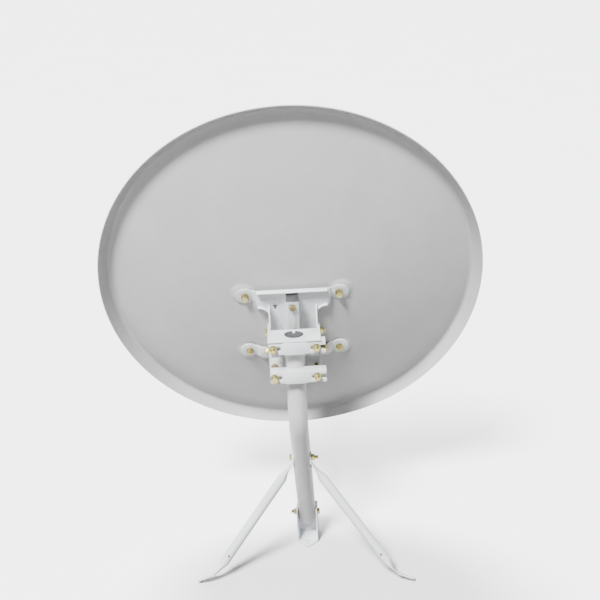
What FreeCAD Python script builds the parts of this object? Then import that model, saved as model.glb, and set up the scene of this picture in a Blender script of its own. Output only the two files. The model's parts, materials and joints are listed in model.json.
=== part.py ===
import FreeCAD, Part
import Sketcher
import math
import os
import re

# Offset satellite dish on a bent mast with two stay legs.
# Row frame: origin at the foot anchor hole on the underside of the foot plate, +Z up,
# +Y the way the mast's foot reaches forward. The head stands swivelled by headSwivel.

V = FreeCAD.Vector
doc = FreeCAD.newDocument("SatelliteDish")
sheet = doc.addObject("Spreadsheet::Sheet", "Sizes")

SIZES = {
    # reflector
    "focalLength": 450, "apertureRadius": 375, "lowerOffset": 37.5, "sheet": 0.8,
    "flangeOut": 17.8, "flangeBack": 20.6, "hemWidth": 2.4, "hemDepth": 3.2, "padRadius": 22,
    "rimForward": 110.8, "rimUp": 42.85, "rimTilt": 2,
    # mast
    "mastDiameter": 40, "mastWall": 2, "mastUpper": 200, "mastBend": 25, "bendRadius": 120,
    "legBoltRun": 120.7, "footBoltRun": 340.6, "mastTail": 22, "pinchDepth": 2.6, "pinchLength": 58,
    # foot bracket
    "footPlate": 3, "footBoltHeight": 73.8, "footBoltForward": 15, "footSide": 0.5, "footTop": 18,
    "footTopDrop": 12, "footRear": 19, "footWebGap": 1, "footTip": 24.2, "footHole": 9, "footCorner": 8,
    # stay legs
    "legDiameter": 20, "legWall": 1.5, "legFlat": 3, "legFlatWidth": 25, "legFlatRun": 17,
    "footReach": 237.7, "footBendReach": 196.5, "footBendHeight": 20.3, "footBack": 162,
    "stayHole": 8.5, "toeTwist": 16, "legTaper": 34, "ventRadius": 2.5,
    # azimuth bracket and clamp jaws
    "bracketHalf": 52.4, "bracketSheet": 3, "topRear": 34.5, "capHole": 19.4, "bracketDrop": 113,
    "pivotForward": 45, "pivotDrop": 11.4, "lockRadius": 40.2, "slotUp": 23, "slotDown": 17,
    "boltReach": 42.6, "upperJaw": 14, "lowerJaw": 77, "jawHeight": 26, "jawSheet": 2.5,
    "jawRear": 32, "jawFront": 10, "jawBulge": 4, "jawLeft": 50, "jawRight": 61,
    "jawFlat": 26, "jawCrown": 17,
    # rear bracket
    "webTilt": 23.1, "earPlane": 44.2, "earRadius": 20, "earHalf": 95, "upperRow": 65.2, "lowerRow": -97.1,
    "rearSheet": 2.5, "joggle": 8.5, "cheekOuter": 49, "barHalf": 77, "barTop": 85.4, "barLow": 41,
    "lipDepth": 10, "shoulder": 22, "shoulderRim": 8, "neckHalf": 16, "joggleEnd": 15, "joggleStart": 27,
    # feed arm
    "armSize": 25, "armWall": 1.5, "armTop": 76.2, "armCorner": -440, "armBend": 40, "armBoltTop": 61.6,
    "armBoltSpacing": 130,
    "neckBehindFocus": 35, "neckRadius": 20, "holderDrop": 46, "holderLength": 22,
    # fasteners
    "boltRadius": 4, "headWidth": 13, "headHeight": 5.3, "nutHeight": 6.5, "washerRadius": 8,
    "washer": 1.6, "screwRadius": 2.5, "screwHead": 8, "boltPlay": 0.08, "bodyGap": 0.3,
    "headSwivel": 3.9,
}
for row, (alias, value) in enumerate(SIZES.items(), start=1):
    sheet.set(f"A{row}", alias)
    sheet.set(f"B{row}", str(value))
    sheet.setAlias(f"B{row}", alias)
doc.recompute()


class Sizes:
    """The sheet's values, read by alias."""

    def __getattr__(self, alias):
        return float(sheet.get(alias))


z = Sizes()


def formula(text):
    """The same formula with each size written as a reference to its cell."""

    def cell(word):
        return "Sizes." + word.group() if word.group() in SIZES else word.group()

    return re.sub(r"[A-Za-z]\w*", cell, str(text))


def place(x=0.0, y=0.0, up=0.0, axis=V(0, 0, 1), angle=0.0):
    return FreeCAD.Placement(V(x, y, up), FreeCAD.Rotation(axis, angle))


AXIS_X, AXIS_Y, AXIS_Z = V(1, 0, 0), V(0, 1, 0), V(0, 0, 1)
ALONG_X = FreeCAD.Rotation(AXIS_Y, 90)
ALONG_Y = FreeCAD.Rotation(AXIS_X, -90)
ELBOW_TURN = FreeCAD.Rotation(-AXIS_Y, -AXIS_Z, AXIS_X, "XYZ")
count = 0


def add(kind, placement=None, **sizes):
    """One Part object; each size is a formula on the sheet, or a length worked out from the sheet."""
    global count
    count += 1
    item = doc.addObject(f"Part::{kind}", f"{kind}{count}")
    for prop, size in sizes.items():
        if isinstance(size, str):
            item.setExpression(prop, formula(size))
        else:
            setattr(item, prop, size)
    if placement:
        item.Placement = placement
    return item


def box(x, y, up, length, width, height):
    """A box from its low corner; the corner is in numbers, the sides are formulas."""
    return add("Box", place(x, y, up), Length=length, Width=width, Height=height)


def rod(x, y, up, radius, height, turn=None, angle=None):
    """A cylinder from the centre of its first face, along Z unless turned."""
    sizes = {"Radius": radius, "Height": height}
    if angle is not None:
        sizes["Angle"] = angle
    return add("Cylinder", FreeCAD.Placement(V(x, y, up), turn or FreeCAD.Rotation()), **sizes)


def hexagon(x, y, up, width, height, turn=None):
    """A hexagonal prism given by its width across flats."""
    prism = add("Prism", FreeCAD.Placement(V(x, y, up), turn or FreeCAD.Rotation()),
                Circumradius=f"({width}) / sqrt(3)", Height=height)
    prism.Polygon = 6
    return prism


def fuse(*items):
    joined = add("MultiFuse")
    joined.Shapes = list(items)
    joined.Refine = True
    return joined


def cut(base, *tools):
    result = add("Cut")
    result.Base = base
    result.Tool = tools[0] if len(tools) == 1 else fuse(*tools)
    result.Refine = True
    return result


def value_of(text):
    """The value of a formula on the sheet."""
    if isinstance(text, (int, float)):
        return float(text)
    return float(sheet.evalExpression(formula(text)))


def outline(points, plane, depth, start=0.0):
    """A closed outline drawn in a sketch, each corner held by formulas, and pulled to a depth.

    plane "YZ" draws (y, z) and pulls along +X, "XY" draws (x, y) and pulls along +Z,
    "XZ" draws (x, z) and pulls along -Y.
    """
    global count
    count += 1
    turns = {"YZ": FreeCAD.Rotation(0.5, 0.5, 0.5, 0.5), "XY": FreeCAD.Rotation(),
             "XZ": FreeCAD.Rotation(AXIS_X, 90)}
    sketch = doc.addObject("Sketcher::SketchObject", f"Outline{count}")
    numbers = [tuple(value_of(c) for c in point) for point in points]
    total = len(points)
    for i in range(total):
        a, b = numbers[i], numbers[(i + 1) % total]
        sketch.addGeometry(Part.LineSegment(V(*a, 0), V(*b, 0)), False)
    for i in range(total):
        sketch.addConstraint(Sketcher.Constraint("Coincident", i, 2, (i + 1) % total, 1))
    for i, (point, number) in enumerate(zip(points, numbers)):
        for axis, text, value in zip(("DistanceX", "DistanceY"), point, number):
            where = sketch.addConstraint(Sketcher.Constraint(axis, -1, 1, i, 1, value))
            sketch.setExpression(f"Constraints[{where}]", formula(text))
    sketch.Placement = FreeCAD.Placement(turns[plane].multVec(V(0, 0, start)), turns[plane])
    pulled = add("Extrusion", LengthFwd=depth)
    pulled.Base = sketch
    pulled.DirMode = "Normal"
    pulled.Solid = True
    return pulled


SIDES = (("left", -1), ("right", 1))
nodes = {}


def node(name, item, frame=None):
    """Names a sub-part and puts it in its frame."""
    item.Label = name
    if frame:
        item.Placement = frame.multiply(item.Placement)
    nodes[name] = item


# --- frames -------------------------------------------------------------------------------
bend = math.radians(z.mastBend)
mastY = -(z.footBoltRun * math.sin(bend) - z.footBoltForward)
bendZ = z.footBoltHeight + z.footBoltRun * math.cos(bend)
mastTop = bendZ + z.mastUpper


def lower(run):
    """The point at a distance down the lower, leaning part of the mast."""
    return V(0, mastY + run * math.sin(bend), bendZ - run * math.cos(bend))


head = place(0, mastY, mastTop, AXIS_Z, z.headSwivel)
tilt = head.multiply(place(0, z.pivotForward, -z.pivotDrop, AXIS_X, z.webTilt))
mastFrame = place(0, mastY, bendZ, AXIS_X, z.mastBend)
legBolt, footBolt = lower(z.legBoltRun), lower(z.footBoltRun)


# --- fasteners ----------------------------------------------------------------------------
def through_bolt(grips, at, turn):
    """A hex bolt: the head's seat at the first value of grips, the shank's end at the second."""
    seat, end = grips
    length = end - seat
    direction = turn.multVec(AXIS_Z)
    start = at + direction * seat
    shank = rod(*start, "boltRadius", length, turn)
    bolt_head = hexagon(*(start - direction * z.headHeight), "headWidth", "headHeight", turn)
    return fuse(shank, bolt_head)


def ring(at, turn, inner, outer, height, hexed=False):
    """A washer, or a nut when hexed."""
    body = hexagon(*at, outer, height, turn) if hexed else rod(*at, outer, height, turn)
    return cut(body, rod(*at, inner, height, turn))


def nut(at, turn, radius="boltRadius"):
    return ring(at, turn, radius, "headWidth", "nutHeight", hexed=True)


def washer(at, turn):
    return ring(at, turn, "boltRadius + boltPlay", "washerRadius", "washer")


# --- reflector ----------------------------------------------------------------------------
def make_reflector():
    """The pressed sheet: offset paraboloid, flange, hem and four flat pads, in the tilt frame."""
    f, radius, sheet_t = z.focalLength, z.apertureRadius, z.sheet
    far = z.lowerOffset + 2 * radius
    rise = (far ** 2 - z.lowerOffset ** 2) / (4 * f)
    theta = math.atan(rise / (2 * radius))
    centre = z.lowerOffset + radius
    centre_rise = (far ** 2 + z.lowerOffset ** 2) / (8 * f)
    rim = place(0, z.rimForward, z.rimUp, AXIS_X, -z.rimTilt)
    sight = V(0, math.cos(theta), math.sin(theta))
    upward = V(0, -math.sin(theta), math.cos(theta))
    vertex = upward * -centre - sight * centre_rise
    long_radius = radius / math.cos(theta)

    def bowl(back, inset, ahead):
        """The space from the paraboloid, moved back along the sight line, to ahead of the rim plane.

        A quadratic patch holds a paraboloid exactly.
        """
        wide, low, high = radius + 20, z.lowerOffset - 20, far + 20
        across = zip((-wide, 0, wide), (wide ** 2, -wide ** 2, wide ** 2))
        along = list(zip((low, (low + high) / 2, high), (low ** 2, low * high, high ** 2)))
        poles = [[V(x, 0, 0) + upward * v + sight * ((xx + vv) / (4 * f) - back) + vertex for v, vv in along]
                 for x, xx in across]
        patch = Part.BezierSurface()
        patch.increase(2, 2)
        for i, line in enumerate(poles, start=1):
            for j, pole in enumerate(line, start=1):
                patch.setPole(i, j, pole)
        full = patch.toShape().extrude(sight * 2 * f)
        tube = Part.makeCylinder(radius - inset, 4 * f, vertex + upward * centre - sight * f, sight)
        front = Part.makeBox(4 * f, 4 * f, 4 * f, V(-2 * f, ahead, -2 * f))
        return full.common(tube).cut(front)

    def oval(out, back):
        shape = Part.Ellipse(V(), long_radius + out, radius + out)
        wire = Part.Wire(shape.toShape())
        upright = FreeCAD.Rotation(AXIS_Z, AXIS_X, AXIS_Y, "ZXY")
        wire.Placement = FreeCAD.Placement(V(0, -back, 0), upright)
        return wire

    lean = math.hypot(z.flangeOut, z.flangeBack)
    step = sheet_t * lean / z.flangeBack
    flange = Part.makeLoft([oval(0, 0), oval(z.flangeOut, z.flangeBack)], True, True).cut(
        Part.makeLoft([oval(-step, 0), oval(z.flangeOut - step, z.flangeBack)], True, True))
    hem_out = z.flangeOut + z.hemWidth - step
    hem_from, hem_to = z.flangeBack - z.hemDepth / 2, z.flangeBack + z.hemDepth / 2
    hem = Part.makeLoft([oval(hem_out, hem_from), oval(hem_out, hem_to)], True, True).cut(
        Part.makeLoft([oval(hem_out - z.hemWidth, hem_from), oval(hem_out - z.hemWidth, hem_to)], True, True))

    into_rim = rim.inverse().toMatrix()
    spots = [(side * z.earHalf, row) for side in (-1, 1) for row in (z.upperRow, z.lowerRow)]

    def pads(inset, length):
        """Cones on the pad plane that open forward, or backward when the length is negative."""
        direction = AXIS_Y if length > 0 else -AXIS_Y
        narrow = z.padRadius - max(inset, 0) if length > 0 else z.padRadius
        return [Part.makeCone(narrow, narrow + abs(length) / 2, abs(length), V(x, z.earPlane + inset, up),
                              direction).transformed(into_rim) for x, up in spots]

    reach = 12
    back_form = bowl(sheet_t, 0.5, 0.5).cut(pads(0, -reach))
    front_form = bowl(0, 0.3, 2).cut(pads(sheet_t, -reach))
    drill = [Part.makeCylinder(z.boltRadius + 0.2, 30, V(x, z.earPlane - 10, up), AXIS_Y) for x, up in spots]
    holes = [hole.transformed(into_rim) for hole in drill]
    outer = back_form.fuse([*pads(0, reach), flange, hem])
    return outer.cut(front_form.fuse(pads(sheet_t, reach))).cut(holes), rim


reflector = doc.addObject("Part::Feature", "Reflector")
reflector_shape, rim_frame = make_reflector()
reflector.Shape = reflector_shape
reflector.Placement = rim_frame
node("reflector", reflector, tilt)


# --- mast ---------------------------------------------------------------------------------
def mast_body(radius, pinch_in, overrun):
    """The mast's outer form, or its bore when the radius and the pinch are smaller."""
    bend_reach = "bendRadius * tan(mastBend / 2)"
    tangent = value_of(bend_reach)
    top = rod(0, mastY, bendZ + tangent, radius, f"mastUpper - {bend_reach} - washer - bodyGap + {overrun}")
    turn = add("Torus", None, Radius1="bendRadius", Radius2=radius, Angle3="mastBend")
    turn.Placement = FreeCAD.Placement(V(0, mastY + z.bendRadius, bendZ + tangent), ELBOW_TURN)
    start = lower(tangent)
    tail = rod(*start, radius, f"footBoltRun + mastTail - {bend_reach} + {overrun}",
               FreeCAD.Rotation(AXIS_Z, lower(1) - lower(0)))
    near = z.mastDiameter / 2 - pinch_in
    blocks = [add("Box", mastFrame.multiply(place(x, -z.mastDiameter, -z.legBoltRun - z.pinchLength / 2)),
                  Length="mastDiameter", Width="2 * mastDiameter", Height="pinchLength")
              for x in (near, -near - z.mastDiameter)]
    return cut(fuse(top, turn, tail), *blocks)


outer = mast_body("mastDiameter / 2", z.pinchDepth, 0)
bore = mast_body("mastDiameter / 2 - mastWall", z.pinchDepth + z.mastWall, 5)
mast_holes = [rod(-z.mastDiameter, spot.y, spot.z, "boltRadius", "2 * mastDiameter", ALONG_X)
              for spot in (legBolt, footBolt)]
node("mast_tube", cut(outer, bore, *mast_holes))

cap_top = mastTop - z.bodyGap
node("mast_cap", fuse(rod(0, mastY, cap_top - z.washer, "mastDiameter / 2", "washer"),
                      rod(0, mastY, cap_top - z.washer - 12, "mastDiameter / 2 - mastWall", 12)))


# --- foot bracket ------------------------------------------------------------------------
footHalf = z.mastDiameter / 2 + z.footSide + z.footPlate
webY = footBolt.y + math.hypot(z.mastTail, z.mastDiameter / 2) + z.footWebGap + z.footPlate
plate = outline([(-footHalf, 0), (0, -z.footTip), (footHalf, 0), (footHalf, webY), (-footHalf, webY)],
                "XY", "footPlate")
webTop = footBolt.z + z.footTop - z.footTopDrop
side_points = [(0, 0), (webY, 0), (webY, webTop), (footBolt.y, "footBoltHeight + footTop"),
               ("footBoltForward - footRear + footCorner * 3 / 4", "footBoltHeight + footTop"),
               ("footBoltForward - footRear", "footBoltHeight + footTop - footCorner")]
foot_walls = [outline(side_points, "YZ", "footPlate", start) for start in (-footHalf, footHalf - z.footPlate)]
foot_web = box(-footHalf, webY - z.footPlate, 0, 2 * footHalf, "footPlate", webTop)
node("foot_bracket", cut(fuse(plate, *foot_walls, foot_web),
                         rod(0, 0, -1, "footHole / 2", "footPlate + 2"),
                         rod(-z.mastDiameter, footBolt.y, footBolt.z, "boltRadius + boltPlay",
                             "2 * mastDiameter", ALONG_X)))

bolt_seat = footHalf + z.bodyGap
TOWARD_LEFT = FreeCAD.Rotation(AXIS_Y, -90)
node("foot_bolt", through_bolt((-bolt_seat, bolt_seat + z.nutHeight + 6), footBolt, TOWARD_LEFT))
node("foot_nut", nut(footBolt - AXIS_X * bolt_seat, TOWARD_LEFT))


# --- stay legs ---------------------------------------------------------------------------
legInner = z.mastDiameter / 2 - z.pinchDepth + z.bodyGap
legMid = legInner + z.legFlat / 2
footTipY = footBolt.y - z.footBack
legLean = math.degrees(math.atan2(legBolt.y - footTipY, legBolt.z))
legDrop = math.hypot(legBolt.y - footTipY, legBolt.z)


leg_frame = FreeCAD.Placement(legBolt, FreeCAD.Rotation(AXIS_X, -legLean))


def make_leg(side):
    """A round tube, flattened and bent at both ends; its frame's -Z runs down the leg's lean."""
    taper = z.legTaper
    flat, half_width = z.legFlat, z.legFlatWidth / 2
    knee = V(side * (legMid + 4), 0, -z.legFlatRun)
    ankle = V(side * z.footBendReach, 0, -(legDrop - z.footBendHeight))
    # the toe's round end rests on the floor, so its height and its slope are found together
    lift = flat
    for _ in range(8):
        toe = V(side * z.footReach, 0, lift - legDrop)
        down = V(toe - ankle).normalize()
        twist = FreeCAD.Rotation(down, -side * z.toeTwist)
        toe_turn = twist.multiply(FreeCAD.Rotation(down, AXIS_Y, V(), "XYZ"))
        normal = leg_frame.Rotation.multVec(toe_turn.multVec(AXIS_Z)).z
        fall = leg_frame.Rotation.multVec(down).z
        height = half_width * (math.sqrt(1 - normal ** 2) + fall) + flat / 2 * abs(normal)
        lift = height / math.cos(math.radians(legLean))
    along = V(ankle - knee).normalize()
    first, last = knee + along * taper, ankle - along * taper
    body_length, toe_length = (last - first).Length, (toe - ankle).Length

    def across(direction):
        """Turns an ellipse square to a direction, its long axis along the frame's Y."""
        return FreeCAD.Rotation(AXIS_Y, V(), direction, "ZXY")

    def loft(*ovals):
        """A solid through ellipses given as centre, turn, half width and half thickness."""
        solid = add("Loft")
        solid.Sections = [add("Ellipse", FreeCAD.Placement(centre, turn), MajorRadius=wide, MinorRadius=thick)
                          for centre, turn, wide, thick in ovals]
        solid.Solid = True
        return solid

    wide, round_end = "legFlatWidth / 2", ("legDiameter / 2", "legDiameter / 2")
    top_end = loft((V(side * legMid, 0, -z.legFlatRun + 6), across(V(0, 0, -1)), wide, "legFlat / 2"),
                   (knee + along * 8, across(along), wide, "legFlat / 2 + 0.6"),
                   (first, across(along), *round_end))
    low_end = loft((last, across(along), *round_end),
                   (ankle - along * 6, twist.multiply(across(along)), wide, "legFlat / 2 + 0.6"),
                   (ankle + down * 4, twist.multiply(across(down)), wide, "legFlat / 2"))
    turn = FreeCAD.Rotation(AXIS_Z, along)
    tube = rod(*first, "legDiameter / 2", body_length, turn)
    core = rod(*(first + along * 2), "legDiameter / 2 - legWall", body_length - 4, turn)
    tongue = box(side * legMid - flat / 2, -half_width, -z.legFlatRun + 5, "legFlat", "legFlatWidth",
                 "legFlatRun - 5")
    tongue_end = rod(side * legMid - flat / 2, 0, 0, "legFlatWidth / 2", "legFlat", ALONG_X)
    toe_frame = FreeCAD.Placement(ankle, toe_turn)
    toe_pad = add("Box", toe_frame.multiply(place(3, -half_width, -flat / 2)),
              Length=toe_length - 3 - half_width, Width="legFlatWidth", Height="legFlat")
    toe_end = add("Cylinder", toe_frame.multiply(place(toe_length - half_width, 0, -flat / 2)),
                  Radius="legFlatWidth / 2", Height="legFlat")
    toe_hole = add("Cylinder", toe_frame.multiply(place(toe_length - half_width, 0, -10)),
                   Radius="stayHole / 2", Height=20)
    vent = rod(*(last - along * 20), "ventRadius", 30, FreeCAD.Rotation(AXIS_Z, -AXIS_Y))
    bolt_hole = rod(side * legMid - 20, 0, 0, "boltRadius + boltPlay", 40, ALONG_X)
    body = fuse(top_end, tube, low_end, tongue, tongue_end, toe_pad, toe_end)
    return cut(body, core, vent, bolt_hole, toe_hole)


left_leg = make_leg(-1)
node("left_leg", left_leg, leg_frame)
right_leg = add("Mirroring")
right_leg.Source = left_leg
right_leg.Normal = AXIS_X
node("right_leg", right_leg)

leg_seat = legInner + z.legFlat + z.bodyGap
node("leg_bolt", through_bolt((-leg_seat, leg_seat + z.nutHeight + 8), legBolt, ALONG_X))
node("leg_nut", nut(legBolt + AXIS_X * leg_seat, ALONG_X))


# --- azimuth bracket, in the head frame ----------------------------------------------------
webRear = z.mastDiameter / 2 + z.bodyGap
t = z.bracketSheet
lockDrop = z.pivotDrop + z.lockRadius
side_outline = [(webRear, t), (z.pivotForward + 13, t), (z.pivotForward + 27, -z.pivotDrop - 20),
                (z.pivotForward + 27, -lockDrop - 4), (z.pivotForward + 15, -lockDrop - 15),
                (webRear + 16, -lockDrop - 20), (webRear + 12, -z.bracketDrop), (webRear, -z.bracketDrop)]
cheeks = [outline(side_outline, "YZ", "bracketSheet", start) for start in (-z.bracketHalf, z.bracketHalf - t)]
web = box(-z.bracketHalf, webRear, -z.bracketDrop, "2 * bracketHalf", "bracketSheet",
          "bracketDrop + bracketSheet")
top = box(-z.bracketHalf, -z.topRear, 0, "2 * bracketHalf", webRear + t + z.topRear, "bracketSheet")
lock_play = z.boltRadius + 0.4


def arc_slot(x, width):
    """The lock bolt's slot: an arc about the pivot, open from slotDown behind to slotUp ahead."""
    band = cut(*[rod(x, z.pivotForward, -z.pivotDrop, z.lockRadius + d, width, ALONG_X)
                 for d in (lock_play, -lock_play)])
    reach = 3 * z.lockRadius
    up, down = math.radians(z.slotUp), math.radians(z.slotDown)
    rear_corner = (z.pivotForward - reach * math.sin(down), -z.pivotDrop - reach * math.cos(down))
    front_corner = (z.pivotForward + reach * math.sin(up), -z.pivotDrop - reach * math.cos(up))
    wedge = outline([(z.pivotForward, -z.pivotDrop), rear_corner, front_corner], "YZ", width, x)
    sector = add("MultiCommon")
    sector.Shapes = [band, wedge]
    rounds = [rod(x, z.pivotForward + z.lockRadius * math.sin(a), -z.pivotDrop - z.lockRadius * math.cos(a),
                  lock_play, width, ALONG_X) for a in (up, -down)]
    return [sector, *rounds]


def slot(x0, x1, y, up, radius, width):
    """A slot along X, pulled along +Y."""
    middle = box(x0 + radius, y, up - radius, x1 - x0 - 2 * radius, width, 2 * radius)
    return [middle] + [rod(x, y, up, radius, width, ALONG_Y) for x in (x0 + radius, x1 - radius)]


holes = [rod(0, 0, -1, "capHole", "bracketSheet + 2")]
holes += [rod(side * z.boltReach, webRear - 1, -drop, "boltRadius + 0.3", "bracketSheet + 2", ALONG_Y)
          for side in (-1, 1) for drop in (z.upperJaw, z.lowerJaw)]
spareSlot = {"from": (-48, 31), "length": 17, "up": -(z.upperJaw + z.lowerJaw) / 2 - 9, "radius": 3.4}
for x0 in spareSlot["from"]:
    holes += slot(x0, x0 + spareSlot["length"], webRear - 1, spareSlot["up"], spareSlot["radius"], t + 2)
holes += [rod(-z.bracketHalf - 1, z.pivotForward, -z.pivotDrop, "boltRadius", "2 * bracketHalf + 2", ALONG_X)]
for start in (-z.bracketHalf - 1, z.bracketHalf - t - 1):
    holes += arc_slot(start, t + 2)
tongue = [box(-3, 11, 0, 6, z.capHole - 10, "bracketSheet"), rod(0, 11, 0, 3, "bracketSheet")]
node("azimuth_bracket", fuse(cut(fuse(web, top, *cheeks), *holes), *tongue), head)


# --- clamp jaws ---------------------------------------------------------------------------
def make_jaw(drop):
    """A channel-section strap round the back of the mast, one closed slot and one open fork."""
    low = -drop - z.jawHeight / 2

    def plan(inset, open_ends):
        """The plan outline, moved in by inset at the back, and past the front and the ends when open."""
        past = 5 if open_ends else 0
        front, left, right = past - z.jawFront, -z.jawLeft - past, z.jawRight + past
        rear, far = -z.jawRear + inset, -z.jawRear - z.jawBulge + inset
        return [(left, front), (left, rear), (-z.jawFlat, rear), (-z.jawCrown, far), (z.jawCrown, far),
                (z.jawFlat, rear), (right, rear), (right, front)]

    body = outline(plan(0, False), "XY", "jawHeight", low)
    hollow = outline(plan(z.jawSheet, True), "XY", "jawHeight - 2 * jawSheet", low + z.jawSheet)
    mast = rod(0, 0, low - 1, "mastDiameter / 2 + bodyGap", "jawHeight + 2")
    radius = z.boltRadius + 0.4
    slots = slot(-z.jawLeft + 3, -27, -z.jawRear - 1, -drop, radius, 12)
    slots += slot(31, z.jawRight + 12, -z.jawRear - 1, -drop, radius, 12)
    return cut(body, hollow, mast, *slots)


node("upper_clamp_jaw", make_jaw(z.upperJaw), head)
node("lower_clamp_jaw", make_jaw(z.lowerJaw), head)

BACKWARD = FreeCAD.Rotation(AXIS_X, 90)
FLAT_TO_CHEEK = BACKWARD.multiply(FreeCAD.Rotation(AXIS_Z, 30))
for row, drop in (("upper", z.upperJaw), ("lower", z.lowerJaw)):
    for hand, side in SIDES:
        at = V(side * z.boltReach, 0, -drop)
        grips = (-webRear - t, z.jawRear + z.washer + z.nutHeight + 5)
        node(f"clamp_bolt_{row}_{hand}", through_bolt(grips, at, FLAT_TO_CHEEK), head)
        node(f"clamp_washer_{row}_{hand}", washer(at - AXIS_Y * z.jawRear, BACKWARD), head)
        node(f"clamp_nut_{row}_{hand}", nut(at - AXIS_Y * (z.jawRear + z.washer), BACKWARD), head)

pivot = V(0, z.pivotForward, -z.pivotDrop)
node("pivot_bolt", through_bolt((-z.bracketHalf, z.bracketHalf + z.nutHeight + 5), pivot, ALONG_X), head)
node("pivot_nut", nut(pivot + AXIS_X * z.bracketHalf, ALONG_X), head)


# --- rear bracket, in the tilt frame: origin on the pivot, Y square to the plate ------------
plateLean = math.radians(z.webTilt)
lock = V(0, -z.lockRadius * math.sin(plateLean), -z.lockRadius * math.cos(plateLean))
plateFront = z.earPlane - z.joggle
plateRear = plateFront - z.rearSheet
lowEdge = z.lowerRow - z.neckHalf


def make_rear_bracket():
    """One stamped plate: body, top bar with a lip, joggled ears, and two cheeks bent back."""
    c = z.cheekOuter
    body = box(-c, plateRear, lowEdge, "2 * cheekOuter", "rearSheet", "barTop - lowerRow + neckHalf")
    bar = box(-z.barHalf, plateRear, z.barLow, "2 * barHalf", "rearSheet", "barTop - barLow")
    lip = box(-z.barHalf + 6, plateFront - z.lipDepth, z.barTop - z.rearSheet, "2 * barHalf - 12", "lipDepth",
              "rearSheet")
    pieces = [body, bar, lip]
    tools = []
    cheek = [(plateFront, z.barLow + 2), (plateRear - 6, z.barLow + 2), (-8, 12), (-11, -6),
             (lock.y - 7, lock.z + 4), (lock.y + 4, lock.z - 9), (plateFront, lowEdge + 14)]
    for side in (-1, 1):
        start = -c if side < 0 else c - z.rearSheet
        pieces.append(outline(cheek, "YZ", "rearSheet", start))
        pieces.append(rod(start, 0, 0, 12, "rearSheet", ALONG_X))
        pieces.append(rod(start, lock.y, lock.z, 9, "rearSheet", ALONG_X))
        # the concave shoulder between the bar and the body
        x0 = c if side > 0 else -c - z.shoulder
        pieces.append(box(x0, plateRear, z.barLow - z.shoulder, "shoulder", "rearSheet", "shoulder"))
        centre = (side * (c + z.shoulder), z.barLow - z.shoulder)
        rim = rod(centre[0], plateFront - z.shoulderRim, centre[1], "shoulder + rearSheet", "shoulderRim",
                  ALONG_Y)
        corner_box = box(min(centre[0], centre[0] - side * 40), plateFront - z.shoulderRim, centre[1], 40,
                         "shoulderRim", 40)
        rim_part = add("MultiCommon")
        rim_part.Shapes = [rim, corner_box]
        pieces.append(rim_part)
        tools.append(rod(centre[0], 0, centre[1], "shoulder", 60, ALONG_Y))
        root, knee, inner = (side * x for x in (c - 1, z.earHalf - z.joggleStart, z.earHalf - z.joggleEnd))
        for row in (z.upperRow, z.lowerRow):
            step = [(root, plateRear), (knee, plateRear), (inner, plateRear + z.joggle),
                    (inner, plateFront + z.joggle), (knee, plateFront), (root, plateFront)]
            pieces.append(outline(step, "XY", "2 * neckHalf", row - z.neckHalf))
            pieces.append(rod(side * z.earHalf, z.earPlane - z.rearSheet, row, "earRadius", "rearSheet",
                              ALONG_Y))
            tools.append(rod(side * z.earHalf, 0, row, "boltRadius + 0.2", 60, ALONG_Y))
    tools.append(rod(-60, 0, 0, "boltRadius + boltPlay", 120, ALONG_X))
    tools.append(rod(-60, lock.y, lock.z, "boltRadius + boltPlay", 120, ALONG_X))
    tools.append(rod(-35, plateRear - 1, z.barLow + 1, 4.5, "rearSheet + 2", ALONG_Y))
    tools.append(box(-37, plateRear - 1, z.barLow - 9, 4, "rearSheet + 2", 9))
    for drop in (z.armBoltTop, z.armBoltTop - z.armBoltSpacing):
        tools.append(rod(0, plateRear - 1, drop, "boltRadius", "rearSheet + 2", ALONG_Y))
    return cut(fuse(*pieces), *tools)


node("rear_bracket", make_rear_bracket(), tilt)

for row, up in (("upper", z.upperRow), ("lower", z.lowerRow)):
    for hand, side in SIDES:
        at = V(side * z.earHalf, z.earPlane, up)
        behind = at - AXIS_Y * z.rearSheet
        grips = (-z.sheet, z.rearSheet + z.washer + z.nutHeight + 3)
        node(f"reflector_bolt_{row}_{hand}", through_bolt(grips, at, BACKWARD), tilt)
        node(f"reflector_washer_{row}_{hand}", washer(behind, BACKWARD), tilt)
        node(f"reflector_nut_{row}_{hand}", nut(behind - AXIS_Y * z.washer, BACKWARD), tilt)

lock_seat = z.bracketHalf + z.bodyGap
lock_grips = (-lock_seat - z.washer, lock_seat + z.washer + z.nutHeight + 6)
node("lock_bolt", through_bolt(lock_grips, lock, ALONG_X), tilt)
node("lock_washer_right", washer(lock + AXIS_X * lock_seat, ALONG_X), tilt)
node("lock_washer_left", washer(lock - AXIS_X * (lock_seat + z.washer), ALONG_X), tilt)
node("lock_nut", nut(lock + AXIS_X * (lock_seat + z.washer), ALONG_X), tilt)


# --- feed arm ------------------------------------------------------------------------------
def feed_geometry():
    """The focus and the line from the feed to the middle of the reflector, in the tilt frame."""
    f, radius = z.focalLength, z.apertureRadius
    far, centre = z.lowerOffset + 2 * radius, z.lowerOffset + radius
    theta = math.atan((far ** 2 - z.lowerOffset ** 2) / (4 * f) / (2 * radius)) - math.radians(z.rimTilt)
    sight, upward = V(0, math.cos(theta), math.sin(theta)), V(0, -math.sin(theta), math.cos(theta))
    rise = (far ** 2 + z.lowerOffset ** 2) / (8 * f)
    vertex = V(0, z.rimForward, z.rimUp) - upward * centre - sight * rise
    focus = vertex + sight * f
    target = vertex + upward * centre + sight * (centre ** 2 / (4 * f))
    aim = V(target - focus).normalize()
    return focus - aim * z.neckBehindFocus, aim


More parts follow.
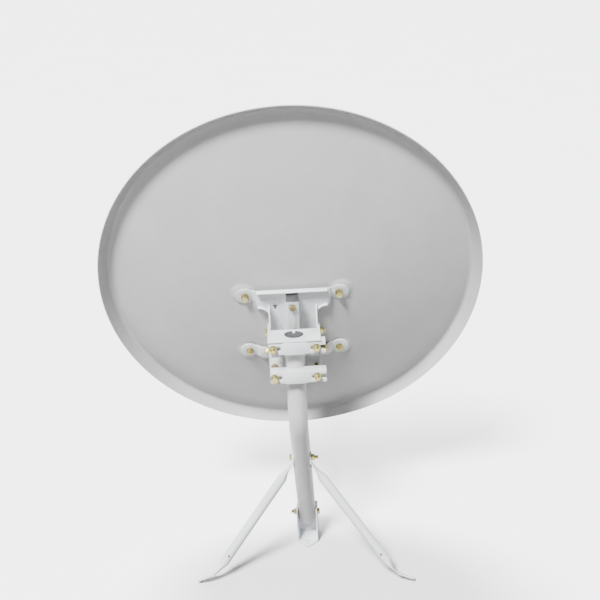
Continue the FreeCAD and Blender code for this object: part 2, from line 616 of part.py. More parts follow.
neck, aim = feed_geometry()
below = V(0, aim.z, -aim.y)
if below.z > 0:
    below = below * -1
armY = plateRear - z.armSize / 2
corner = V(0, armY, z.armCorner)
armEnd = neck + below * z.holderDrop
forward = V(armEnd - corner).normalize()
turnAngle = 90 + math.degrees(math.atan2(forward.z, forward.y))
tangent = z.armBend * math.tan(math.radians(turnAngle / 2))
armTurn = FreeCAD.Rotation(AXIS_X, turnAngle - 90)


def arm_form(side, ends):
    """The arm's outer form, or its bore: two straight runs and one bend of a square section."""
    half = side / 2
    run = z.armTop - z.armCorner - tangent
    first = box(-half, armY - half, z.armCorner + tangent, side, side, run + ends)
    bend_at = V(0, armY + z.armBend, z.armCorner + tangent)
    turn = FreeCAD.Placement(bend_at - AXIS_X * half, ELBOW_TURN)
    elbow = cut(*[add("Cylinder", turn, Radius=z.armBend + r, Height=side, Angle=turnAngle)
                  for r in (half, -half)])
    start = corner + forward * tangent
    second = add("Box", FreeCAD.Placement(start - armTurn.multVec(V(half, 0, half)), armTurn),
                 Length=side, Width=(armEnd - start).Length + ends, Height=side)
    return fuse(first, elbow, second)


arm_outer = arm_form(z.armSize, 0)
arm_bore = arm_form(z.armSize - 2 * z.armWall, 4)
arm_bolt_spots = [V(0, armY - z.armSize / 2, drop)
                  for drop in (z.armBoltTop, z.armBoltTop - z.armBoltSpacing)]
arm_holes = [rod(0, at.y - 1, at.z, "boltRadius", "armSize + 2", ALONG_Y) for at in arm_bolt_spots]
screw_back = 12
screw_at = armEnd - forward * screw_back
holder_hole = add("Cylinder", FreeCAD.Placement(screw_at - armTurn.multVec(V(0, 0, 30)), armTurn),
                  Radius="screwRadius + 0.1", Height=60)
node("arm_tube", cut(arm_outer, arm_bore, *arm_holes, holder_hole), tilt)

capSide = z.armSize - 2 * z.armWall
node("arm_cap", fuse(box(-z.armSize / 2, armY - z.armSize / 2, z.armTop, "armSize", "armSize", 2),
                     box(-capSide / 2, armY - capSide / 2, z.armTop - 10, capSide, capSide, 10)), tilt)
for row, at in zip(("upper", "lower"), arm_bolt_spots):
    node(f"arm_bolt_{row}", through_bolt((0, z.armSize + z.rearSheet + 0.6), at, ALONG_Y), tilt)


# --- feed holder -----------------------------------------------------------------------------
neckFrame = FreeCAD.Placement(neck, FreeCAD.Rotation(V(1, 0, 0), below * -1, aim, "ZXY"))
ringOut = z.neckRadius + 5


def half_ring(sign):
    """Half of the neck clamp with its two ears, split across the frame's X axis."""
    length = z.holderLength
    disc = rod(0, 0, -length / 2, ringOut, "holderLength")
    ears = box(-ringOut - 11, -6, -length / 2, 2 * ringOut + 22, 12, "holderLength")
    drop = box(-60, -60 if sign > 0 else -0.8, -length, 120, 60.8, 2 * length)
    holes = [rod(side * (ringOut + 5), -12, 0, "screwRadius", 24, ALONG_Y) for side in (-1, 1)]
    return cut(fuse(disc, ears), rod(0, 0, -length, "neckRadius", 2 * length), drop, *holes)


node("holder_strap", half_ring(1), tilt.multiply(neckFrame))
saddle = half_ring(-1)
saddle.Placement = neckFrame
stem = add("Box", neckFrame.multiply(place(-8, -z.holderDrop + 8, -9)),
           Length=16, Width=z.holderDrop - z.neckRadius - 10, Height=18)
sleeve_at = armEnd - forward * 31
sleeve, sleeve_bore = [
    add("Box", FreeCAD.Placement(sleeve_at - armTurn.multVec(V(half, 0, half)), armTurn),
        Length=2 * half, Width=depth, Height=2 * half)
    for half, depth in ((z.armSize / 2 + 3, 34), (z.armSize / 2, 31))]
screw_hole = add("Cylinder", FreeCAD.Placement(screw_at - armTurn.multVec(V(0, 0, 30)), armTurn),
                 Radius="screwRadius", Height=60)
neck_clear = add("Cylinder", neckFrame.multiply(place(0, 0, -40)), Radius="neckRadius", Height=80)
node("feed_holder", cut(fuse(saddle, stem, sleeve), sleeve_bore, screw_hole, neck_clear), tilt)


def small_screw(at, turn, length):
    """A pan-head screw seated at a point, with its nut at the far end."""
    direction = turn.multVec(AXIS_Z)
    shank = rod(*at, "screwRadius", length, turn)
    pan = rod(*(at - direction * 3), "screwHead / 2", 3, turn)
    end_nut = ring(at + direction * (length - 5), turn, "screwRadius", "screwHead", 4, hexed=True)
    return fuse(shank, pan), end_nut


for hand, side in SIDES:
    screw, screw_nut = small_screw(V(side * (ringOut + 5), 6, 0), BACKWARD, 19)
    node(f"holder_screw_{hand}", screw, tilt.multiply(neckFrame))
    node(f"holder_nut_{hand}", screw_nut, tilt.multiply(neckFrame))
cross, cross_nut = small_screw(screw_at + armTurn.multVec(V(0, 0, z.armSize / 2 + 3)),
                               FreeCAD.Rotation(AXIS_Z, armTurn.multVec(V(0, 0, -1))), z.armSize + 13)
node("arm_screw", cross, tilt)
node("arm_screw_nut", cross_nut, tilt)


# --- checks and files ------------------------------------------------------------------------
doc.recompute()
for item in doc.Objects:
    if "Invalid" in item.State or "Error" in item.State:
        raise RuntimeError(f"{item.Name} ({item.Label}) failed: {item.State}")
os.makedirs("parts", exist_ok=True)
for name, item in nodes.items():
    shape = item.Shape
    if shape.isNull() or not shape.isValid() or not shape.Solids:
        raise RuntimeError(f"{name} is not a valid solid")
    box_now = shape.BoundBox
    print(f"{name}: {len(shape.Solids)} solid(s), {shape.Volume / 1000:.1f} cm3,"
          f" x {box_now.XMin:.1f}..{box_now.XMax:.1f} y {box_now.YMin:.1f}..{box_now.YMax:.1f}"
          f" z {box_now.ZMin:.1f}..{box_now.ZMax:.1f}")
    shape.exportStep(os.path.join("parts", f"{name}.step"))
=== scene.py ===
import json
import math
import bmesh
import bpy
from mathutils import Matrix, Vector


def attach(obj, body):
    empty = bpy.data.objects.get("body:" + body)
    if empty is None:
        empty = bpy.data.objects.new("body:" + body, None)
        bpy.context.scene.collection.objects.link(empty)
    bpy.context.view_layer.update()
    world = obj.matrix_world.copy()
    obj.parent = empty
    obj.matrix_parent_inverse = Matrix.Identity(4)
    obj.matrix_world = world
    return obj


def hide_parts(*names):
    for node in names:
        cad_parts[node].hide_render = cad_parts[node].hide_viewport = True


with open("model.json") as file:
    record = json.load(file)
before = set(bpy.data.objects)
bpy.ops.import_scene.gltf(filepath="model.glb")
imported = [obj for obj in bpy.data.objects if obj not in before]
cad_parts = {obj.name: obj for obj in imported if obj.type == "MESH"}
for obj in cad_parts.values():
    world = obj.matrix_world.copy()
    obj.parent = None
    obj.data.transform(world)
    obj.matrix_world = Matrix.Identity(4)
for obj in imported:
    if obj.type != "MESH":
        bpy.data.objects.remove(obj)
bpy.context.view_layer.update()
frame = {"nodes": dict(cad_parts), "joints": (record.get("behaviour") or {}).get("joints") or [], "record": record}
joints = {joint["name"]: joint for joint in frame["joints"]}
mm = 0.001


# shader maths on sockets, written as ordinary expressions
class Link:
    def __init__(self, paint, socket):
        self.paint = paint
        self.socket = socket

    def maths(self, operation, *values):
        return self.paint.add("ShaderNodeMath", {"operation": operation}, dict(enumerate(values)))

    def __add__(self, other):
        return self.maths("ADD", self, other)

    def __radd__(self, other):
        return self.maths("ADD", other, self)

    def __sub__(self, other):
        return self.maths("SUBTRACT", self, other)

    def __rsub__(self, other):
        return self.maths("SUBTRACT", other, self)

    def __mul__(self, other):
        return self.maths("MULTIPLY", self, other)

    def __rmul__(self, other):
        return self.maths("MULTIPLY", other, self)

    def clamped(self):
        return self.paint.add("ShaderNodeClamp", {}, {"Value": self})


# one material and its node tree
class Paint:
    def __init__(self, name):
        self.material = bpy.data.materials.new(name)
        self.material.use_nodes = True
        self.tree = self.material.node_tree
        self.tree.nodes.clear()
        self.place = self.add("ShaderNodeTexCoord", {}, {}, "Object")

    def add(self, kind, settings, sockets, output=0):
        node = self.tree.nodes.new(kind)
        for name, value in settings.items():
            setattr(node, name, value)
        for name, value in sockets.items():
            if isinstance(value, Link):
                self.tree.links.new(value.socket, node.inputs[name])
            else:
                node.inputs[name].default_value = value
        return None if output is None else Link(self, node.outputs[output])

    def cloud(self, scale, detail=3.0, rough=0.5):
        sockets = {"Vector": self.place, "Scale": scale, "Detail": detail, "Roughness": rough}
        return self.add("ShaderNodeTexNoise", {}, sockets)

    def between(self, mask, low, high):
        return self.add("ShaderNodeMapRange", {}, {"Value": mask, "From Min": low, "From Max": high})

    # the Mix node's colour sockets are its seventh and eighth
    def blend(self, factor, first, second):
        colours = {"Factor": factor, 6: first, 7: second}
        return self.add("ShaderNodeMix", {"data_type": "RGBA"}, colours, 2)

    # how far a point faces up, from 0 to 1
    def upward(self):
        normal = self.add("ShaderNodeNewGeometry", {}, {}, "Normal")
        return self.between(self.add("ShaderNodeSeparateXYZ", {}, {0: normal}, "Z"), 0.0, 1.0)

    # bumps are (height, distance in metres), laid one on the other
    def finish(self, sockets, bumps=()):
        normal = None
        for height, distance in bumps:
            inputs = {"Height": height, "Distance": distance, "Strength": 1.0}
            if normal:
                inputs["Normal"] = normal
            normal = self.add("ShaderNodeBump", {}, inputs)
        if normal:
            sockets = {**sockets, "Normal": normal}
        shader = self.add("ShaderNodeBsdfPrincipled", {}, sockets)
        self.add("ShaderNodeOutputMaterial", {}, {"Surface": shader}, None)
        return self.material


def grey(value, warm=0.0):
    return (value * (1 + warm), value, value * (1 - warm), 1)


# baked powder paint: cloudy tone, orange peel, dust on what faces up, a few fine specks
paints = {
    "dish_paint": {"light": grey(0.56, 0.004), "deep": grey(0.50, 0.006), "dust": grey(0.44, 0.03),
                   "rough": 0.42, "peel": 0.06 * mm},
    "bracket_paint": {"light": (0.79, 0.81, 0.83, 1), "deep": (0.70, 0.72, 0.745, 1),
                      "dust": grey(0.60, 0.02), "rough": 0.36, "peel": 0.05 * mm},
    "mast_paint": {"light": grey(0.60, -0.002), "deep": grey(0.52, 0.004), "dust": grey(0.50, 0.02),
                   "rough": 0.38, "peel": 0.05 * mm},
}


def powderPaint(name, look):
    paint = Paint(name)
    tone = paint.cloud(9.0, 4.0, 0.55)
    streak = paint.cloud(70.0, 2.0)
    speck = paint.between(paint.cloud(1500.0, 1.0), 0.70, 0.80)
    mixed = paint.blend(paint.between(tone * 0.8 + streak * 0.2, 0.35, 0.65), look["light"], look["deep"])
    dusty = (paint.upward() * paint.between(paint.cloud(26.0, 5.0, 0.65), 0.45, 0.8) * 0.28).clamped()
    colour = paint.blend(speck * 0.35, paint.blend(dusty, mixed, look["dust"]), look["dust"])
    rough = paint.cloud(45.0, 3.0) * 0.16 + (look["rough"] - 0.08) + dusty * 0.25
    peel = paint.cloud(900.0, 2.0, 0.4)
    return paint.finish({"Base Color": colour, "Roughness": rough, "Specular IOR Level": 0.45},
                        [(peel, look["peel"]), (tone, 0.4 * mm)])


zinc = {"gold": (0.36, 0.28, 0.10, 1), "green": (0.26, 0.28, 0.12, 1), "rose": (0.40, 0.24, 0.13, 1),
        "dull": (0.19, 0.16, 0.09, 1)}


def yellowZinc():
    paint = Paint("yellowZinc")
    film = paint.blend(paint.between(paint.cloud(140.0, 2.0), 0.38, 0.62), zinc["gold"], zinc["green"])
    rosy = paint.blend(paint.between(paint.cloud(95.0, 3.0), 0.52, 0.72) * 0.7, film, zinc["rose"])
    stain = paint.between(paint.cloud(420.0, 4.0, 0.65), 0.55, 0.75)
    colour = paint.blend(stain * 0.45, rosy, zinc["dull"])
    rough = paint.cloud(260.0, 3.0) * 0.22 + 0.22 + stain * 0.15
    return paint.finish({"Base Color": colour, "Roughness": rough, "Metallic": 1.0 - stain * 0.12},
                        [(paint.cloud(1100.0, 3.0), 0.03 * mm)])


plastics = {
    "black_plastic": {"light": (0.060, 0.061, 0.063, 1), "deep": (0.038, 0.038, 0.040, 1), "rough": 0.46},
    "holder_plastic": {"light": (0.16, 0.16, 0.165, 1), "deep": (0.11, 0.11, 0.115, 1), "rough": 0.5},
}


def mouldedPlastic(name, look):
    paint = Paint(name)
    tone = paint.between(paint.cloud(60.0, 3.0), 0.35, 0.65)
    scuff = paint.between(paint.cloud(700.0, 4.0, 0.7), 0.62, 0.8)
    worn = (paint.upward() * scuff * 0.5 + scuff * 0.15).clamped()
    colour = paint.blend(worn, paint.blend(tone, look["light"], look["deep"]), grey(0.22))
    rough = paint.cloud(90.0, 2.0) * 0.15 + (look["rough"] - 0.06) + worn * 0.2
    return paint.finish({"Base Color": colour, "Roughness": rough, "Specular IOR Level": 0.5},
                        [(paint.cloud(2600.0, 2.0), 0.04 * mm)])


finishes = {name: powderPaint(name, look) for name, look in paints.items()}
finishes.update({name: mouldedPlastic(name, look) for name, look in plastics.items()})
finishes["yellow_zinc"] = yellowZinc()
print("materials made:", len(finishes))

# which node takes which finish, and which body it rides on
slotOf = {part["node"]: part["material_slot"] for part in frame["record"]["subparts"]}
bodyOf = {node: body for body, members in frame["record"]["behaviour"]["bodies"].items() for node in members}


# gives a piece its body, its finish and the nodes it stands for
def settle(piece, nodes, slot):
    piece.data.materials.clear()
    piece.data.materials.append(finishes[slot])
    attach(piece, bodyOf[nodes[0]])
    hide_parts(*nodes)
    return piece


# smooth shading that breaks at edges sharper than an angle
def smoothed(mesh, angle):
    mesh.polygons.foreach_set("use_smooth", [True] * len(mesh.polygons))
    mesh.set_sharp_from_angle(angle=math.radians(angle))


def meshPiece(name, vertices, faces, smooth):
    mesh = bpy.data.meshes.new(name)
    mesh.from_pydata([tuple(v) for v in vertices], [], faces)
    mesh.validate()
    solid = bmesh.new()
    solid.from_mesh(mesh)
    bmesh.ops.recalc_face_normals(solid, faces=solid.faces)
    solid.to_mesh(mesh)
    solid.free()
    smoothed(mesh, smooth)
    piece = bpy.data.objects.new(name, mesh)
    bpy.context.scene.collection.objects.link(piece)
    return piece


# the frames that the pieces are laid out in
def jointFrame(name, turn=0.0):
    joint = joints[name]
    heading = Matrix.Rotation(math.atan2(joint["axis"][1], joint["axis"][0]), 4, "Z")
    return Matrix.Translation(joint["pos_m"]) @ heading @ Matrix.Rotation(turn, 4, "X")


dish = {
    "plateLean": 23.1,       # the bracket plate from upright, degrees
    "focalLength": 450 * mm,
    "apertureRadius": 375 * mm,
    "lowerOffset": 37.5 * mm,
    "sheet": 0.8 * mm,
    "rimForward": 110.8 * mm,
    "rimUp": 42.85 * mm,
    "rimTilt": 2.0,
    "flangeOut": 17.8 * mm,
    "flangeBack": 20.6 * mm,
    "hemWidth": 2.4 * mm,
    "hemDepth": 3.2 * mm,
    "padRadius": 22 * mm,
    "padBlend": 2.2 * mm,
    "padSpots": [(x * mm, z * mm) for x in (-95, 95) for z in (65.2, -97.1)],
    "padPlane": 44.2 * mm,
    "hemStart": -135,        # the bead's first point and the turn from each point to the next, degrees
    "hemTurn": 27,
    "hemPoints": 11,
    "hemSquareness": 0.8,
    "lastRing": 0.994,       # the bowl's outermost ring, as a share of the aperture
    "creaseInside": 0.9955,  # where the rounded crease starts on the front, as a share of the aperture
    "creaseBehind": 0.985,   # and where it ends on the back
    "creaseOut": 1.5 * mm,
    "innerCrease": (1.2 * mm, 4.5 * mm),
    "outerWall": [6 * mm, 11 * mm, 15 * mm, 18 * mm],
    "innerWall": [18.5 * mm, 15 * mm, 11 * mm, 7 * mm],
    "rings": 116,
    "spokes": 336,
}
tiltFrame = jointFrame("elevation_tilt", math.radians(dish["plateLean"]))


# a soft minimum, which rounds the edge where two forms meet
def softMin(a, b, width):
    share = max(0.0, min(1.0, 0.5 + 0.5 * (b - a) / width))
    return b + (a - b) * share - width * share * (1 - share)


def reflectorPiece(d):
    f, radius = d["focalLength"], d["apertureRadius"]
    far = d["lowerOffset"] + 2 * radius
    middle = d["lowerOffset"] + radius
    lean = math.atan((far ** 2 - d["lowerOffset"] ** 2) / (4 * f) / (2 * radius))
    tilt = Matrix.Rotation(-math.radians(d["rimTilt"]), 4, "X")
    rim = Matrix.Translation((0, d["rimForward"], d["rimUp"])) @ tilt
    sight = Vector((0, math.cos(lean), math.sin(lean)))
    upward = Vector((0, -math.sin(lean), math.cos(lean)))
    vertex = -upward * middle - sight * (far ** 2 + d["lowerOffset"] ** 2) / (8 * f)
    longRadius = radius / math.cos(lean)
    pads = [rim.inverted() @ Vector((x, d["padPlane"], z)) for x, z in d["padSpots"]]
    out = rim.inverted().to_3x3() @ Vector((0, 1, 0))

    # a point of the bowl, with the flat pads pressed into it
    def bowl(share, angle, thickness):
        x = radius * share * math.cos(angle)
        v = middle + radius * share * math.sin(angle)
        flat = Vector((x, 0, 0)) + upward * v + vertex
        height = (x * x + v * v) / (4 * f) - thickness
        for pad in pads:
            level = ((pad - flat).dot(out) + (d["sheet"] - thickness)) / sight.dot(out)
            away = flat + sight * level - pad
            reach = away.length - d["padRadius"]
            if reach < d["padRadius"]:
                rise = max(0.0, reach)
                height = softMin(height, level + rise, d["padBlend"])
                height = -softMin(-height, rise - level, d["padBlend"])
        return flat + sight * height

    def flange(outward, back, angle):
        x, z = (radius + outward) * math.cos(angle), (longRadius + outward) * math.sin(angle)
        return Vector((x, -back, z))

    def curve(a, b, c, steps):
        for i in range(steps + 1):
            t = i / steps
            yield a * (1 - t) ** 2 + b * 2 * t * (1 - t) + c * t * t

    step = d["sheet"] * math.hypot(d["flangeOut"], d["flangeBack"]) / d["flangeBack"]
    slope = d["flangeOut"] / d["flangeBack"]
    hemOut = d["flangeOut"] + d["hemWidth"] - step - d["hemWidth"] / 2
    shares = [i / d["rings"] for i in range(1, d["rings"])] + [d["lastRing"]]
    near, deep = d["innerCrease"]

    # a point on the flange's inner side, at a depth behind the rim
    def inner(back, angle):
        return flange(back * slope - step, back, angle)

    # the rolled hem: a rounded bead, from the flange's outer side round to its inner side
    def hem(angle):
        for i in range(d["hemPoints"]):
            turn = math.radians(d["hemStart"] + d["hemTurn"] * i)
            c, s = math.cos(turn), math.sin(turn)
            outward = hemOut + d["hemWidth"] / 2 * math.copysign(abs(c) ** d["hemSquareness"], c)
            back = d["flangeBack"] + d["hemDepth"] / 2 * math.copysign(abs(s) ** d["hemSquareness"], s)
            yield flange(outward, back, angle)

    # one spoke's section: front of the bowl, crease, flange, hem, flange, crease, back of the bowl
    def section(a):
        line = [bowl(s, a, 0.0) for s in shares]
        wall = flange(d["creaseOut"], d["creaseOut"] / slope, a)
        line += curve(bowl(d["creaseInside"], a, 0.0), flange(0, 0, a), wall, 5)
        line += [flange(back * slope, back, a) for back in d["outerWall"]]
        line += hem(a)
        line += [inner(back, a) for back in d["innerWall"]]
        line += curve(inner(deep, a), inner(near, a), bowl(d["creaseBehind"], a, d["sheet"]), 6)
        line += [bowl(s, a, d["sheet"]) for s in reversed(shares[:-3])]
        return line

    spokes = d["spokes"]
    points = [section(2 * math.pi * k / spokes) for k in range(spokes)]
    count = len(points[0])
    place = tiltFrame @ rim
    vertices = [place @ p for line in points for p in line]
    front, back = len(vertices), len(vertices) + 1
    vertices += [place @ bowl(0, 0, 0.0), place @ bowl(0, 0, d["sheet"])]
    faces = []
    for k in range(spokes):
        here, there = k * count, (k + 1) % spokes * count
        faces.append((front, here, there))
        faces += [(here + i, here + i + 1, there + i + 1, there + i) for i in range(count - 1)]
        faces.append((here + count - 1, back, there + count - 1))
    return meshPiece("reflectorDish", vertices, faces, smooth=55)


settle(reflectorPiece(dish), ["reflector"], slotOf["reflector"])
print("reflector made")

rounding = {"join": 0.002 * mm, "flatAngle": 0.6, "edgeAngle": 38, "steps": 2, "sharpAngle": 32}


# a copy of a node's mesh with its flat faces joined, then its edges rounded to a width
def softened(name, node, width):
    mesh = frame["nodes"][node].data.copy()
    mesh.name = name
    solid = bmesh.new()
    solid.from_mesh(mesh)
    bmesh.ops.remove_doubles(solid, verts=solid.verts, dist=rounding["join"])
    flat = math.radians(rounding["flatAngle"])
    bmesh.ops.dissolve_limit(solid, angle_limit=flat, verts=solid.verts, edges=solid.edges)
    solid.to_mesh(mesh)
    solid.free()
    piece = bpy.data.objects.new(name, mesh)
    bpy.context.scene.collection.objects.link(piece)
    bevel = piece.modifiers.new("rounding", "BEVEL")
    bevel.width = width
    bevel.segments = rounding["steps"]
    bevel.limit_method = "ANGLE"
    bevel.angle_limit = math.radians(rounding["edgeAngle"])
    bevel.use_clamp_overlap = False
    bevel.miter_outer = "MITER_ARC"
    final = bpy.data.meshes.new_from_object(piece.evaluated_get(bpy.context.evaluated_depsgraph_get()))
    piece.modifiers.clear()
    piece.data = final
    smoothed(final, rounding["sharpAngle"])
    return piece


# each sheet-metal or moulded piece: its node and how wide its edges are rounded
pressed = {
    "rearBracketPlate": ("rear_bracket", 0.45 * mm),
    "azimuthChannel": ("azimuth_bracket", 0.5 * mm),
    "upperJawStrap": ("upper_clamp_jaw", 0.5 * mm),
    "lowerJawStrap": ("lower_clamp_jaw", 0.5 * mm),
    "footChannel": ("foot_bracket", 0.6 * mm),
    "armSquareTube": ("arm_tube", 0.9 * mm),
    "armEndCap": ("arm_cap", 0.6 * mm),
    "mastPlug": ("mast_cap", 0.5 * mm),
    "feedSaddle": ("feed_holder", 0.6 * mm),
    "feedStrap": ("holder_strap", 0.6 * mm),
}
for name, (node, width) in pressed.items():
    settle(softened(name, node, width), [node], slotOf[node])
    print(name, "made")


# fasteners are read from their nodes: axis, seat, size and the turn of the hexagon
fastener = {
    "smallRadius": 3 * mm,   # thinner shanks get the fine thread and a pan head
    "pitch": 1.25 * mm,
    "threadDepth": 0.55 * mm,
    "threaded": 24 * mm,     # the most of a shank that is threaded
    "finePitch": 0.8 * mm,
    "fineDepth": 0.35 * mm,
    "rowsPerPitch": 5,
    "leadIn": 1.2 * mm,      # where the thread grows to its depth, at the tip and at its run-out
    "runOut": 0.9 * mm,
    "tipLength": 0.7 * mm,
    "tipDrop": 0.5 * mm,
    "turns": 48,             # points round a hexagon
    "faceShare": 0.93,       # a hexagon's round bearing face, as a share of its flats
    "coneShare": 0.955,      # the cone that turns a hexagon's corners off: its end, and its slope
    "coneSlope": 1.75,
    "coneRows": [0, 0.12 * mm, 0.25 * mm, 0.4 * mm, 0.55 * mm, 0.7 * mm, 0.85 * mm, 1.0 * mm],
    "faceLift": 0.45 * mm,   # how far the bearing face stands under a bolt's hexagon
    # a bolt head's dished top: depths below the top and shares of its flats
    "crown": [(0, 0.94), (0.25 * mm, 0.80), (0.3 * mm, 0.3)],
    # a pan head with a round recess: shares of its height and of its radius
    "pan": [(0, 0.96), (0.25, 1), (0.6, 0.94), (0.85, 0.72), (0.9, 0.5), (0.5, 0.42)],
    "nutLead": 0.14,         # the chamfer of a nut's bore, as a share of the bore
    "washerEdge": 0.35 * mm,
}


def readNode(node):
    mesh = frame["nodes"][node].data
    # the axis is the way that the most flat area faces
    spread = {}
    for face in mesh.polygons:
        key = tuple(round(c, 2) + 0.0 for c in face.normal)
        area, total = spread.get(key, (0.0, Vector()))
        spread[key] = (area + face.area, total + face.normal * face.area)
    axis = max(spread.values(), key=lambda entry: entry[0])[1].normalized()
    points = [v.co.copy() for v in mesh.vertices]
    along = [p.dot(axis) for p in points]
    low, high = min(along), max(along)
    ends = [p for p, a in zip(points, along) if a < low + 1e-5]
    middle = sum(ends, Vector()) / len(ends)
    middle -= axis * middle.dot(axis)
    flatPoints = [p - axis * a - middle for p, a in zip(points, along)]
    wide = max(p.length for p in flatPoints)
    side = max(flatPoints, key=lambda p: round(p.length, 7)).normalized()
    heads = [a for p, a in zip(flatPoints, along) if p.length > wide * 0.9]
    narrow = min(p.length for p in flatPoints if p.length > 1e-4)
    turn = Matrix((side, axis.cross(side), axis)).transposed().to_4x4()
    return {"frame": Matrix.Translation(middle) @ turn, "low": low, "high": high, "headLow": min(heads),
            "headHigh": max(heads), "wide": wide, "narrow": narrow}


# rows are (height, radius); a radius may be a function of the angle and the height
# a closed stack joins its last row to its first
def stack(name, place, rows, turns, closed, smooth):
    vertices, faces = [], []
    for height, radius in rows:
        for k in range(turns):
            a = 2 * math.pi * k / turns
            r = radius(a, height) if callable(radius) else radius
            vertices.append(place @ Vector((r * math.cos(a), r * math.sin(a), height)))
    total = len(rows)
    for i in range(total if closed else total - 1):
        for k in range(turns):
            j, n = (i + 1) % total, (k + 1) % turns
            faces.append((i * turns + k, i * turns + n, j * turns + n, j * turns + k))
    if not closed:
        faces.append(tuple(range(turns)))
        faces.append(tuple(range((total - 1) * turns, total * turns)))
    return meshPiece(name, vertices, faces, smooth)


def hexRadius(angle, corner):
    around = math.fmod(angle + 2 * math.pi, math.pi / 3) - math.pi / 6
    return corner * math.cos(math.pi / 6) / math.cos(around)


# the hexagon with its corners turned off in a cone at one or both ends
def hexRows(low, high, corner, both):
    flat = corner * math.cos(math.pi / 6)

    def shape(angle, height):
        near = high - height
        if both:
            near = min(near, height - low)
        cone = flat * fastener["coneShare"] + near * fastener["coneSlope"]
        return min(hexRadius(angle, corner), cone)
    top = [high - c for c in reversed(fastener["coneRows"])]
    bottom = [low + c for c in fastener["coneRows"]] if both else [low]
    return [(h, shape) for h in bottom + top], flat


# the threaded end of a shank, from its tapered tip at low to where the thread runs out at high
def threadRows(low, high, radius, pitch, depth):
    f = fastener
    count = max(2, int((high - low) / pitch * f["rowsPerPitch"]))

    def shape(angle, height):
        phase = (height - low) / pitch - angle / (2 * math.pi)
        saw = abs(phase - math.floor(phase) - 0.5) * 2
        fade = min(1.0, (height - low) / f["leadIn"] + 0.02, (high - height) / f["runOut"] + 0.02)
        taper = max(0.0, 1 - (height - low) / f["tipLength"]) * f["tipDrop"]
        return radius - depth * (1 - saw) * min(1.0, fade * 2) - taper
    return [(low + (high - low) * i / count, shape) for i in range(count + 1)]


def boltPiece(name, node):
    read = readNode(node)
    radius = read["narrow"]
    low, seat, high = read["low"], read["headLow"], read["high"]
    small = radius < fastener["smallRadius"]
    pitch = fastener["finePitch"] if small else fastener["pitch"]
    depth = fastener["fineDepth"] if small else fastener["threadDepth"]
    plain = min(low + fastener["threaded"], seat - 2 * mm)
    rows = threadRows(low, plain, radius - 0.02 * mm, pitch, depth)
    rows += [(plain + 0.4 * mm, radius), (seat - 0.3 * mm, radius), (seat, radius + 0.3 * mm)]
    if small:
        rows += [(seat + (high - seat) * up, read["wide"] * out) for up, out in fastener["pan"]]
        return stack(name, read["frame"], rows, 32, closed=False, smooth=50)
    under = seat + fastener["faceLift"]
    head, flat = hexRows(under, high, read["wide"], both=False)
    face = flat * fastener["faceShare"]
    rows += [(seat, face), (under, face)] + head
    rows += [(high - depth, flat * share) for depth, share in fastener["crown"]]
    return stack(name, read["frame"], rows, fastener["turns"], closed=False, smooth=28)


def nutPiece(name, node):
    read = readNode(node)
    low, high, bore = read["low"], read["high"], read["narrow"]
    body, flat = hexRows(low, high, read["wide"], both=True)
    lead = bore * fastener["nutLead"]
    face = flat * fastener["faceShare"]
    rows = [(low + lead, bore), (low, bore + lead), (low, face)] + body
    rows += [(high, face), (high, bore + lead), (high - lead, bore)]
    return stack(name, read["frame"], rows, fastener["turns"], closed=True, smooth=28)


def washerPiece(name, node):
    read = readNode(node)
    low, high, bore, wide = read["low"], read["high"], read["narrow"], read["wide"]
    e = fastener["washerEdge"]
    rows = [(low + e, bore), (low, bore + e * 0.6), (low, wide - e), (low + e * 0.3, wide - e * 0.3),
            (low + e, wide), (high - e, wide), (high - e * 0.3, wide - e * 0.3), (high, wide - e),
            (high, bore + e * 0.6), (high - e, bore)]
    return stack(name, read["frame"], rows, 56, closed=True, smooth=40)


for node in sorted(bodyOf):
    if slotOf[node] != "yellow_zinc":
        continue
    maker = nutPiece if "nut" in node else washerPiece if "washer" in node else boltPiece
    words = node.split("_")
    name = words[0] + "".join(word.capitalize() for word in words[1:]) + "Made"
    settle(maker(name, node), [node], slotOf[node])
print("fasteners made")

# nodes that stay as they are take their slot's finish
for node, item in frame["nodes"].items():
    if not item.hide_render:
        item.data.materials.clear()
        item.data.materials.append(finishes[slotOf[node]])
        smoothed(item.data, rounding["sharpAngle"])
        print("kept", node)

# floor, world, lights and camera
studio = {
    "azimuth": 3.48, "elevation": 22.02, "roll": 2.72, "distance": 1.9755,
    "target": (0.0152, -0.1279, 0.6572), "view": 33.12,
    "floorSize": 40.0, "floorDrop": 0.5 * mm, "world": 0.36,
    # each light: where it shines from, its strength and its softness in degrees
    "lights": {
        "highLight": ((-0.15, 0.35, 1.0), 9.0, 24.0),
        "keyLight": ((-0.34, -0.85, 1.15), 11.0, 14.0),
    },
}


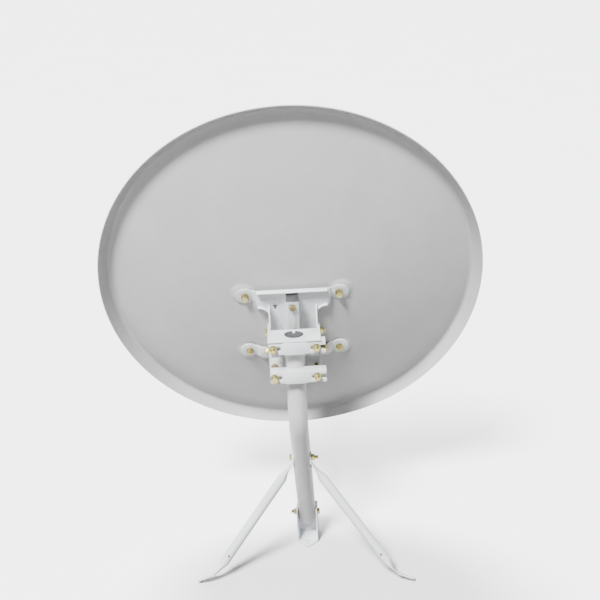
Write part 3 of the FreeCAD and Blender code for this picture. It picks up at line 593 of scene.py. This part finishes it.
def floorPiece():
    half = studio["floorSize"] / 2
    mesh = bpy.data.meshes.new("floor")
    corners = [(-half, -half, 0), (half, -half, 0), (half, half, 0), (-half, half, 0)]
    mesh.from_pydata(corners, [], [(0, 1, 2, 3)])
    floor = bpy.data.objects.new("floor", mesh)
    bpy.context.scene.collection.objects.link(floor)
    paint = Paint("paleFloor")
    tone = paint.between(paint.cloud(2.0, 2.0), 0.3, 0.7)
    colour = paint.blend(tone, grey(0.88), grey(0.86))
    floor.data.materials.append(paint.finish({"Base Color": colour, "Roughness": 0.7}))
    floor.location.z = -studio["floorDrop"]
    floor.visible_diffuse = False    # a bright floor that doesn't light the dish from below


floorPiece()
world = bpy.data.worlds.new("softRoom")
world.use_nodes = True
world.node_tree.nodes["Background"].inputs["Color"].default_value = (1.0, 1.0, 1.0, 1)
world.node_tree.nodes["Background"].inputs["Strength"].default_value = studio["world"]
bpy.context.scene.world = world

for name, (direction, strength, softness) in studio["lights"].items():
    light = bpy.data.lights.new(name, "SUN")
    light.energy = strength
    light.angle = math.radians(softness)
    lamp = bpy.data.objects.new(name, light)
    bpy.context.scene.collection.objects.link(lamp)
    lamp.rotation_euler = Vector(direction).to_track_quat("Z", "Y").to_euler()


def studioCamera():
    turn, rise, roll = (math.radians(studio[name]) for name in ("azimuth", "elevation", "roll"))
    back = Vector((math.sin(turn) * math.cos(rise), -math.cos(turn) * math.cos(rise), math.sin(rise)))
    right = Vector((math.cos(turn), math.sin(turn), 0))
    up = back.cross(right)
    across = right * math.cos(roll) - up * math.sin(roll)
    upright = up * math.cos(roll) + right * math.sin(roll)
    lens = bpy.data.cameras.new("studioCamera")
    lens.sensor_fit = "HORIZONTAL"
    lens.angle = math.radians(studio["view"])
    camera = bpy.data.objects.new("studioCamera", lens)
    bpy.context.scene.collection.objects.link(camera)
    spot = Vector(studio["target"]) + back * studio["distance"]
    camera.matrix_world = Matrix.Translation(spot) @ Matrix((across, upright, back)).transposed().to_4x4()
    bpy.context.scene.camera = camera


studioCamera()
print("studio set")
